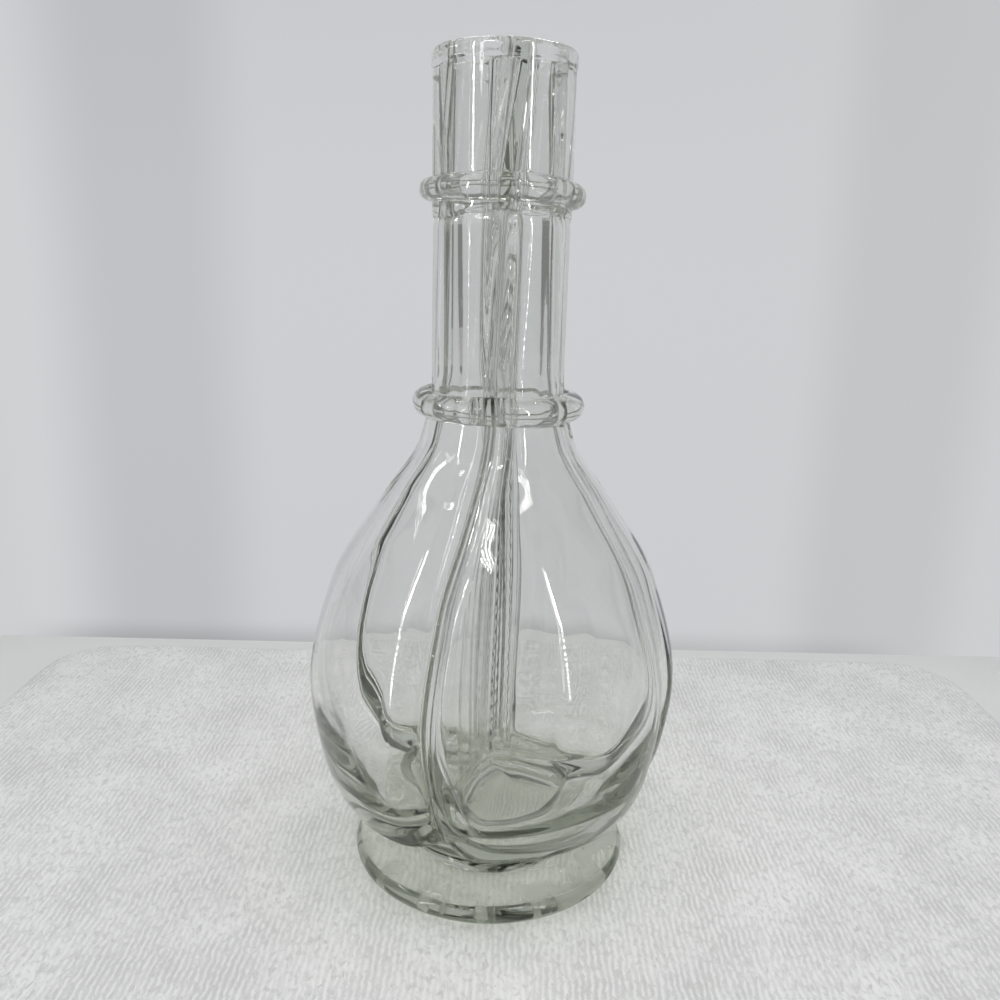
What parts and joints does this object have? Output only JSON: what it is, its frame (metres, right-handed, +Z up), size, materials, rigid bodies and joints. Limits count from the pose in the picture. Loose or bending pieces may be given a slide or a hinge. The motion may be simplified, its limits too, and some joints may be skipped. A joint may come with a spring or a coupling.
{
  "type": "multi-chamber liqueur decanter",
  "caption": "Twisted pear-shaped clear glass decanter on a round foot, divided upright into separate chambers that share a ringed neck, each pouring from its own mouth.",
  "frame": {"origin": "centre of the foot's underside, on the surface that the decanter stands on", "axes": "+Z up along the decanter's axis, -Y towards the pictured front, +X to the right in that view"},
  "size_m": [0.1318, 0.1318, 0.28],
  "materials": {
    "clear_glass": "fire-polished clear glass with a faint grey-green tint where it is thick"
  },
  "bodies": {
    "root": {"chamber_front": "clear_glass", "chamber_right": "clear_glass", "chamber_back": "clear_glass", "chamber_left": "clear_glass", "mouth_sleeve": "clear_glass", "upper_neck_ring": "clear_glass", "lower_neck_ring": "clear_glass", "foot": "clear_glass"}
  },
  "joints": []
}
